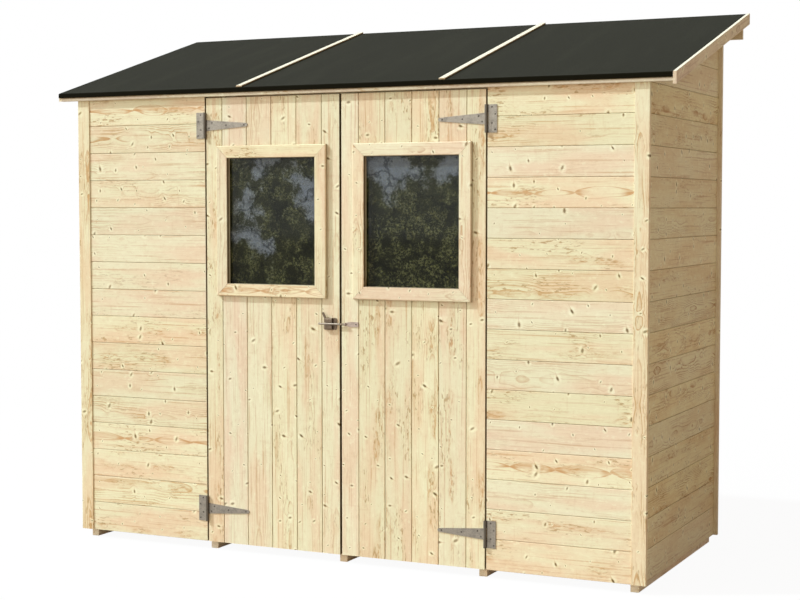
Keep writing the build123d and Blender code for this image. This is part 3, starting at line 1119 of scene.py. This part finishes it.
@dataclass
class Leaf:
    """One door leaf: upright boards round the window, ledges, a mitred frame and its pane."""

    side: Side
    joints: tuple[float, ...]
    seed: int
    board_gap: float = 0.0016
    board_bevel: float = 0.0020
    rebate: float = 0.008        # the glass is held this far into the boards
    face_width: float = 0.050
    outer_bevel: float = 0.003
    inner_bevel: float = 0.0025
    mitre_gap: float = 0.0005
    ledge_height: float = 0.070
    # painted shade on the frame's inner faces round the glass
    reveal_painted_shade: float = 0.85
    foot_painted_shade: float = 0.80      # painted shade down the frame's outer edge towards the boards
    edge_painted_shade: Span = (0.92, 0.62)   # painted shade at the meeting edge and at the hinge edge
    figured_rail: bool = False   # the frame's lower rail is cut through the heart

    def name(self, part: str) -> str:
        """A node's name on this side."""
        return f"{self.side.word}_{part}"

    def sight(self) -> tuple[np.ndarray, np.ndarray]:
        """Lowest and highest corner of the glass that shows, as (x, z)."""
        low, high = (np.array([c.x, c.z]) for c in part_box(self.name("window_frame")))
        return low + self.face_width, high - self.face_width

    def build(self) -> None:
        """Makes the boards, frame and ledges, and dresses the pane."""
        self.build_boards()
        self.build_frame()
        middle = sum(c.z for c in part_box("latch_striker")) / 2
        low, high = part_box(self.name("door_ledges"))
        half = self.ledge_height / 2
        heights = [(z - half, z + half) for z in (low.z + half, middle, high.z - half)]
        Timber(self.name("door_ledges"), Lie.ACROSS_WALL, self.seed + 1, body=self.side.door,
               parts=heights).build()
        dress(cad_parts[self.name("window_pane")], Palette.glass)

    def build_boards(self) -> None:
        """Makes the boards in two layers, so that the glass has its rebate behind its edge."""
        low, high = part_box(self.name("door_boards"))
        sight_low, sight_high = self.sight()
        profile = BoardProfile(gap=self.board_gap, bevel=self.board_bevel)
        back = profile.thickness / 2
        layers = (((0.0, back), 0.0), ((back, profile.thickness), self.rebate))
        mesh = TimberMesh(self.name("door_boards_upright"), self.seed)
        lines = [low.x, *self.joints, high.x]
        inner, outer = (high.x, low.x) if self.side is Side.LEFT else (low.x, high.x)
        for left, right in zip(lines[:-1], lines[1:]):
            cut = mesh.log((left + right) / 2)
            for layer, lap in layers:
                hole = (sight_low - lap, sight_high + lap)
                for x_span, z_span in around(((left, right), (low.z, high.z)), hole):
                    own = (x_span[0] == left, x_span[1] == right)
                    meets = (own[0] and left != low.x, own[1] and right != high.x)
                    outline = self.squared(profile.outline(*x_span, meets, layer), x_span, own)
                    across, depth = outline.T
                    soil = np.where(across == inner, self.edge_painted_shade[0], profile.soil(depth))
                    soil = np.where(across == outer, self.edge_painted_shade[1], soil)
                    ring = carried(outline + np.array([0.0, low.y]), *z_span, Lie.UPRIGHT)
                    mesh.add(ring, Lie.UPRIGHT, cut, soil=soil)
        hand_over(mesh.object(), self.side.door, Palette.boards, self.name("door_boards"))

    @staticmethod
    def squared(outline: np.ndarray, x_span: Span, own: tuple[bool, bool]) -> np.ndarray:
        """Squares the edges of a part of a board that are cuts and not the board's own edges.

        Args:
            outline: Rows of (across, through).
            x_span: Where the part's two edges lie.
            own: Whether the left and the right one are the board's own.

        Returns:
            The squared outline.
        """
        middle = sum(x_span) / 2
        across = outline[:, 0].copy()
        if not own[0]:
            across[across < middle] = x_span[0]
        if not own[1]:
            across[across > middle] = x_span[1]
        return np.stack([across, outline[:, 1]], 1)

    def build_frame(self) -> None:
        """Makes the four members: a bevelled section carried along each side of the sight.

        A member's ends lie at the sight's ends plus the distance outwards, which makes the mitres.
        """
        low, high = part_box(self.name("window_frame"))
        sight = self.sight()
        section = np.array([(0.0, high.y), (0.0, low.y + self.inner_bevel),
                            (self.inner_bevel, low.y), (self.face_width - self.outer_bevel, low.y),
                            (self.face_width, low.y + self.outer_bevel), (self.face_width, high.y)])
        reach = section[:, 0] - self.mitre_gap
        soil = np.where(section[:, 0] == 0.0, self.reveal_painted_shade, 0.0)
        soil[-1] = self.foot_painted_shade
        mesh = TimberMesh(self.name("window_frame_mitred"), self.seed + 2)
        for lie, run, across in ((Lie.ACROSS_WALL, 0, 1), (Lie.UPRIGHT, 1, 0)):
            for corner, outward in zip(sight, (-1.0, 1.0)):
                edge = corner[across]
                outline = np.stack([edge + outward * section[:, 0], section[:, 1]], 1)
                ring = carried(outline, sight[0][run] - reach, sight[1][run] + reach, lie)
                figured = self.figured_rail and lie is Lie.ACROSS_WALL and outward < 0
                cut = mesh.log(edge + outward * self.face_width / 2, figured)
                mesh.add(ring, lie, cut, soil=soil)
        hand_over(mesh.object(), self.side.door, Palette.frames, self.name("window_frame"))


def around(board: tuple[Span, Span],
           hole: tuple[np.ndarray, np.ndarray]) -> list[tuple[Span, Span]]:
    """Parts of an upright board that are left round a window.

    Args:
        board: Its span in x and in z.
        hole: Lowest and highest corner of the window, as (x, z).

    Returns:
        The spans of each part: below, above and beside the window.
    """
    (left, right), (bottom, top) = board
    hole_left, hole_right = max(left, hole[0][0]), min(right, hole[1][0])
    if hole_left >= hole_right:
        return [board]
    parts = [((hole_left, hole_right), (bottom, hole[0][1])),
             ((hole_left, hole_right), (hole[1][1], top))]
    beside = ((left, hole_left), (hole_right, right))
    return parts + [(span, (bottom, top)) for span in beside if span[0] < span[1]]


@dataclass
class FeltField:
    """One field of roof felt: a sheet over the deck, folded down over the eave."""

    node: str
    seed: int
    thickness: float = 0.003
    fold_radius: float = 0.0045
    fold_steps: int = 7
    flat_from: float = 0.02      # first row of points up the slope after the fold
    rows: int = 40
    stations: int = 60
    ripple: float = 0.0006
    waves: tuple[Sequence[float], Sequence[float]] = ((5.0, 4.0, 6.0, 2.0), (9.0, 9.0, 11.0, 5.0))

    def section(self, inset: float) -> np.ndarray:
        """The sheet's line: up the fold, round a bend and up the slope.

        Args:
            inset: How far the line is moved in.

        Returns:
            Rows of (y, z).
        """
        low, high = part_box(self.node)
        lowered = high.z - ROOF_RISE * high.y - inset * math.hypot(1.0, ROOF_RISE)
        front, radius = low.y + inset, self.fold_radius - inset
        corner = np.array([front, lowered + ROOF_RISE * front])
        start = corner - np.array([0.0, radius])
        end = corner + radius * np.array([1.0, ROOF_RISE]) / math.hypot(1.0, ROOF_RISE)
        depths = np.linspace(end[0] + self.flat_from, high.y, self.rows)
        slope = np.stack([depths, lowered + ROOF_RISE * depths], 1)
        return np.concatenate([[[front, low.z]], bend(start, corner, end, self.fold_steps), slope])

    def build(self) -> None:
        """Carries the folded section along the eave, with a ripple in the sheet.

        The section and the same line moved in by the thickness make a closed outline. A point is
        lowered by ripple * (1 + sin(a x + b y) sin(c y + d x)) / 2.
        """
        low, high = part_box(self.node)
        outline = np.concatenate([self.section(0.0), self.section(self.thickness)[::-1]])
        shares = np.linspace(0.0, 1.0, self.stations)
        ring = carried(outline, low.x, high.x, Lie.FLAT_ACROSS, shares)
        a, b, c, d = np.random.default_rng(self.seed).uniform(*self.waves)
        x, y = ring[..., 0], ring[..., 1]
        ring[..., 2] -= self.ripple * (1.0 + np.sin(a * x + b * y) * np.sin(c * y + d * x)) / 2
        points = ring.reshape(-1, 3)
        piece = mesh_object(self.node + "_sheet", points, tube_faces(points, self.stations))
        hand_over(piece, Body.SHED, Palette.felt, self.node)


@dataclass
class ScrewHead:
    """A raised countersunk head with a cross recess, on a face that looks to the front."""

    radius: float = 0.0036
    dome: float = 0.0011
    recess: float = 0.0009
    slot_half: float = 0.00055
    slot_reach: float = 0.62
    rim_depth: float = 0.0004
    rings: int = 9
    spokes: int = 24

    def points(self, middle: Point, turn: float) -> np.ndarray:
        """The head as a surface over (radius, angle), with its middle as the last point.

        Its height over the face is dome * (1 - r^2), less the recess inside two crossed slots, and
        its rim drops just under the face.

        Args:
            middle: Middle of the head, on the face that it sits on.
            turn: How far the cross is turned, in radians.

        Returns:
            Rows of x, y and z.
        """
        x, y, z = middle
        share = np.linspace(0.0, 1.0, self.rings)[1:, None]
        angle = np.linspace(0.0, 2 * math.pi, self.spokes, endpoint=False)[None, :]
        across, up = share * np.cos(angle), share * np.sin(angle)
        turned = np.abs(np.stack([across * math.cos(turn) + up * math.sin(turn),
                                  up * math.cos(turn) - across * math.sin(turn)]))
        in_slot = (turned.min(0) * self.radius < self.slot_half) & (turned.max(0) < self.slot_reach)
        height = self.dome * (1.0 - share**2) - self.recess * in_slot
        height[-1] = -self.rim_depth
        rim = np.stack([x + self.radius * across, y - height, z + self.radius * up], -1)
        return np.concatenate([rim.reshape(-1, 3), [[x, y - self.dome + self.recess, z]]])

    def faces(self, first: int) -> list[list[int]]:
        """The head's faces: quads between the rings and a fan round the middle.

        Args:
            first: Number of its first point in the mesh.

        Returns:
            Rows of point numbers.
        """
        spoke = np.arange(self.spokes)
        middle = np.full(self.spokes, (self.rings - 1) * self.spokes)
        fan = np.stack([(spoke + 1) % self.spokes, spoke, middle], 1)
        return (ring_quads(self.rings - 1, self.spokes) + first).tolist() + (fan + first).tolist()


@dataclass
class Ironwork:
    """The hinges, the latch and the screws that hold them."""

    plate_height: float = 0.104
    sheet: float = 0.0025
    pin_inset: float = 0.006     # from the knuckles' outer side to the middle of the pin
    plate_inset: float = 0.0052  # from the pin to the plate's edge
    plate_screws: tuple[Span, ...] = (   # outwards from the plate's edge, and up from its middle
        (0.016, 0.043), (0.029, 0.016), (0.016, -0.017), (0.029, -0.041))
    strap_screws: tuple[Span, ...] = (   # inwards from the pin, and up from its middle
        (0.032, 0.010), (0.018, -0.011), (0.098, 0.0), (0.181, 0.0))
    shade_shift: float = 0.0022   # the painted shade lies on the pins' right
    latch_sheet: float = 0.003
    bar_half: float = 0.0046
    striker_screw: float = 0.010  # from the striker's outer end
    plate_seed: int = 700
    strap_seed: int = 710
    striker_seed: int = 720
    head: ScrewHead = field(default_factory=ScrewHead)

    def screws(self, name: str, spots: Sequence[Point], body: Body, seed: int) -> None:
        """Sets screw heads on a piece of iron.

        Args:
            name: Name of the new piece.
            spots: Middle of each head, on the face that carries it.
            body: What the iron moves with.
            seed: Start of the random turns.
        """
        turns = np.random.default_rng(seed).uniform(0.0, math.pi, len(spots))
        heads = [self.head.points(spot, turn) for spot, turn in zip(spots, turns)]
        faces = [row for k, head in enumerate(heads) for row in self.head.faces(k * len(head))]
        hand_over(mesh_object(name, np.concatenate(heads), faces), body, Palette.screw)

    def build(self) -> None:
        """Dresses the hinges and the latch and sets their screws."""
        for number, side in enumerate(Side):
            self.build_hinges(side, number)
        self.build_latch()

    def build_hinges(self, side: Side, number: int) -> None:
        """Dresses a side's two hinges and sets their screws.

        Args:
            side: The side.
            number: Its number, for the seeds.
        """
        plates, straps = f"{side.word}_hinge_plates", f"{side.word}_hinge_straps"
        low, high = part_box(straps)
        axis = (high.x if side is Side.RIGHT else low.x) - side.sign * self.pin_inset
        finish = replace(Palette.hinge, name=f"{side.word}_hinge_zinc", axis=axis + self.shade_shift)
        for node in (plates, straps):
            dress(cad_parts[node], finish)
        low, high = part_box(plates)
        heights = (low.z + self.plate_height / 2, high.z - self.plate_height / 2)
        face = high.y - self.sheet
        on_plates = [(axis + side.sign * (self.plate_inset + aside), face, z + up)
                     for z in heights for aside, up in self.plate_screws]
        on_straps = [(axis - side.sign * aside, face, z + up)
                     for z in heights for aside, up in self.strap_screws]
        self.screws(f"{side.word}_plate_screws", on_plates, Body.SHED, self.plate_seed + number)
        self.screws(f"{side.word}_strap_screws", on_straps, side.door, self.strap_seed + number)

    def build_latch(self) -> None:
        """Dresses the latch and its striker."""
        low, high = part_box("latch_striker")
        level = (low.z + high.z) / 2
        dress(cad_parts["latch"], replace(Palette.catch, bar=(level, self.bar_half)))
        # the striker's inner end, by the doors' gap, is drawn darker
        dress(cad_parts["latch_striker"], replace(Palette.striker, axis=low.x))
        spot = (high.x - self.striker_screw, high.y - self.latch_sheet, level)
        self.screws("striker_screws", [spot], Body.RIGHT_DOOR, self.striker_seed)


@dataclass
class Walls:
    """The boarded walls with their corners and framing."""

    first_joint: float = 0.038
    joint_count: int = 21
    figured: tuple[tuple[int, ...], ...] = ((15, 3), (12, 3))   # left and right front panel
    side_seeds: tuple[int, int] = (100, 150)
    back_seed: int = 200

    def build(self) -> None:
        """Makes every wall, corner board, post and rail; the joints run all round."""
        joints = self.first_joint + COVER * np.arange(self.joint_count)
        uprights = (("front_corner_board", Palette.trim, False),
                    ("rear_corner_board", Palette.rear_trim, True),
                    ("front_corner_post", Palette.framing, True),
                    ("rear_corner_post", Palette.framing, True),
                    ("door_post", Palette.framing, False))
        for side, seed, figured in zip(Side, self.side_seeds, self.figured):
            Boarding(f"{side.word}_front_panel", Lie.ACROSS_WALL, -1.0, joints, seed,
                     figured=figured).build()
            Boarding(f"{side.word}_side_wall", Lie.ALONG_SIDE, side.sign, joints, seed + 1,
                     Palette.shaded_side_boards).build()
            for number, (part, finish, roof_cut) in enumerate(uprights, 2):
                Timber(f"{side.word}_{part}", Lie.UPRIGHT, seed + number, finish,
                       roof_cut=roof_cut).build()
        Boarding("back_wall", Lie.ACROSS_WALL, 1.0, joints, self.back_seed).build()
        Timber("door_header", Lie.ACROSS_WALL, self.back_seed + 1, Palette.trim,
               roof_cut=True).build()
        Timber("rear_top_rail", Lie.ACROSS_WALL, self.back_seed + 2, roof_cut=True).build()


@dataclass
class Base:
    """The bearers and the floor."""

    bearers: int = 5
    bearer_seed: int = 300
    floor_seed: int = 310

    def build(self) -> None:
        """Makes the bearers and the floor boards."""
        for number in range(1, self.bearers + 1):
            Timber(f"bearer_{number}", Lie.ALONG_SIDE, self.bearer_seed + number,
                   Palette.bearer).build()
        low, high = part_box("floor")
        joints = np.arange(low.y + COVER, high.y, COVER)
        Boarding("floor", Lie.FLAT_ACROSS, 1.0, joints, self.floor_seed, Palette.framing).build()


@dataclass
class Roof:
    """The deck, the felt and the boards along its edges."""

    edging_arris: float = 0.0012
    strip_arris: float = 0.001
    batten_painted_shade: float = 0.95    # painted shade down a batten's sides towards the felt
    deck_seed: int = 400
    felt_seed: int = 410
    edging_seed: int = 420
    strip_seed: int = 430

    def build(self) -> None:
        """Makes the deck, felt, battens, verges, eave strip and fascia."""
        low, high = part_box("roof_deck")
        joints = np.arange(low.x + COVER, high.x, COVER)
        Boarding("roof_deck", Lie.FLAT_BACK, -1.0, joints, self.deck_seed, Palette.framing,
                 follows_roof=True).build()
        for number, word in enumerate(("left", "middle", "right")):
            FeltField(f"{word}_roof_felt", self.felt_seed + number).build()
        edges = (("left_roof_batten", Lie.FLAT_BACK, self.batten_painted_shade),
                 ("right_roof_batten", Lie.FLAT_BACK, self.batten_painted_shade),
                 ("left_verge", Lie.ALONG_SIDE, 0.0), ("right_verge", Lie.ALONG_SIDE, 0.0))
        for number, (node, lie, soil) in enumerate(edges):
            Timber(node, lie, self.edging_seed + number, Palette.edging, self.edging_arris,
                   follows_roof=True, foot_painted_shade=soil).build()
        Timber("front_eave_strip", Lie.ACROSS_WALL, self.strip_seed, Palette.strip,
               self.strip_arris, roof_cut=True).build()
        Timber("rear_fascia", Lie.ACROSS_WALL, self.strip_seed + 1, Palette.rear_trim,
               roof_cut=True).build()


# Studio


@dataclass
class Studio:
    """Camera, light, pale floor and white surroundings."""

    camera_at: Point = (2.9071, -6.1027, 1.3982)
    yaw: float = 25.449
    pitch: float = 3.297
    lens: float = 72.76
    sensor: float = 36.0
    clip_end: float = 200.0
    light_way: Point = (1.95, 1.0, -2.05)
    sun_strength: float = 3.2
    sun_angle: float = 2.4
    sun_tint: Colour = (0.86, 1.0, 1.09)
    box_way: Point = (0.55, 0.83, -0.10)
    box_strength: float = 1.77
    box_angle: float = 80.0
    box_tint: Colour = (0.915, 1.0, 1.02)
    fill: float = 0.34
    fill_tint: Colour = (1.25, 1.0, 0.75)
    white: Colour = (1.0, 1.0, 1.0)
    floor_half: float = 60.0
    floor_drop: float = 0.0005     # how far the floor lies under the bearers
    floor_light: Colour = (0.45, 0.38, 0.31)   # what the floor throws back on the shed
    floor_seen: Colour = (0.90, 0.90, 0.90)    # what the camera sees shaded
    floor_shade: float = 0.055     # share of that shading in what the camera sees
    floor_fade: Span = (2.5, 7.0)  # distances over which that share fades into the white

    def build(self) -> None:
        """Sets up everything that isn't part of the shed."""
        self.build_camera()
        self.lamp("key", self.light_way, self.sun_strength, self.sun_angle, self.sun_tint)
        self.lamp("softbox", self.box_way, self.box_strength, self.box_angle, self.box_tint)
        self.build_world()
        self.build_floor()
        bpy.context.scene.view_settings.view_transform = "Standard"

    def build_camera(self) -> None:
        """Puts the camera where the photograph was taken from."""
        data = bpy.data.cameras.new("view")
        data.lens, data.sensor_width, data.clip_end = self.lens, self.sensor, self.clip_end
        camera = bpy.data.objects.new("view", data)
        camera.location = self.camera_at
        camera.rotation_euler = (math.radians(90.0 - self.pitch), 0.0, math.radians(self.yaw))
        bpy.context.scene.collection.objects.link(camera)
        bpy.context.scene.camera = camera

    @staticmethod
    def lamp(name: str, way: Point, strength: float, angle: float, tint: Colour) -> None:
        """Adds a far lamp.

        Args:
            name: Its name.
            way: The direction that its light travels.
            strength: Its strength.
            angle: How wide it looks, in degrees.
            tint: Its colour.
        """
        data = bpy.data.lights.new(name, "SUN")
        data.energy, data.color, data.angle = strength, tint, math.radians(angle)
        lamp = bpy.data.objects.new(name, data)
        x, y, z = way
        tilt, turn = math.atan2(math.hypot(x, y), -z), math.atan2(y, x) - math.pi / 2
        lamp.rotation_euler = (tilt, 0.0, turn)
        bpy.context.scene.collection.objects.link(lamp)

    @staticmethod
    def show(bench: NodeBench, lighting: bpy.types.Node, shown: bpy.types.Node,
             output: str) -> None:
        """Ends a tree with one shader to light with and another to look at.

        Args:
            bench: The tree.
            lighting: The shader for the light that falls on things.
            shown: The shader for rays from the camera, mirrors and glass.
            output: Kind of the output node.
        """
        path = bench.add("LightPath")
        rays = ("Is Camera Ray", "Is Glossy Ray", "Is Transmission Ray")
        seen = bench.most(*(bench.out(path, ray) for ray in rays))
        both = bench.add("MixShader", {0: seen, 1: bench.out(lighting), 2: bench.out(shown)})
        bench.add(output, {"Surface": bench.out(both)})

    def build_world(self) -> None:
        """White to look at, a soft warm fill to light with."""
        world = bpy.data.worlds.new("studio")
        world.use_nodes = True
        bpy.context.scene.world = world
        world.node_tree.nodes.clear()
        bench = NodeBench(world.node_tree)
        white = bench.add("Background", {"Color": self.white, "Strength": 1.0})
        soft = bench.add("Background", {"Color": self.fill_tint, "Strength": self.fill})
        self.show(bench, soft, white, "OutputWorld")

    def build_floor(self) -> None:
        """A pale floor that shows white and keeps a light shadow."""
        half, level = self.floor_half, -self.floor_drop
        corners = np.array([(-half, -half, level), (half, -half, level),
                            (half, half, level), (-half, half, level)])
        floor = mesh_object("studio_floor", corners, [[0, 1, 2, 3]])
        material = bpy.data.materials.new("studio_floor")
        material.use_nodes = True
        material.node_tree.nodes.clear()
        bench = NodeBench(material.node_tree)
        matt = bench.add("BsdfDiffuse", {"Color": self.floor_light})
        bright = bench.add("BsdfDiffuse", {"Color": self.floor_seen})
        white = bench.add("Emission", {"Color": self.white, "Strength": 1.0})
        away = bench.vector("LENGTH", bench.place(), key="Value")
        share = bench.spread(away, *self.floor_fade, self.floor_shade, 0.0)
        shown = bench.add("MixShader", {0: share, 1: bench.out(white), 2: bench.out(bright)})
        self.show(bench, matt, shown, "OutputMaterial")
        floor.data.materials.append(material)


def main() -> None:
    """Builds the sub-assemblies in order, then the studio."""
    logging.basicConfig(level=logging.INFO, format="%(name)s: %(message)s")
    Base().build()
    Walls().build()
    Roof().build()
    Leaf(Side.LEFT, (-0.5425, -0.4290, -0.3160, -0.2028, -0.0895), 500, figured_rail=True).build()
    Leaf(Side.RIGHT, (0.0725, 0.1860, 0.2995, 0.4125, 0.5265), 600).build()
    Ironwork().build()
    Studio().build()


if __name__ == "__main__":
    main()
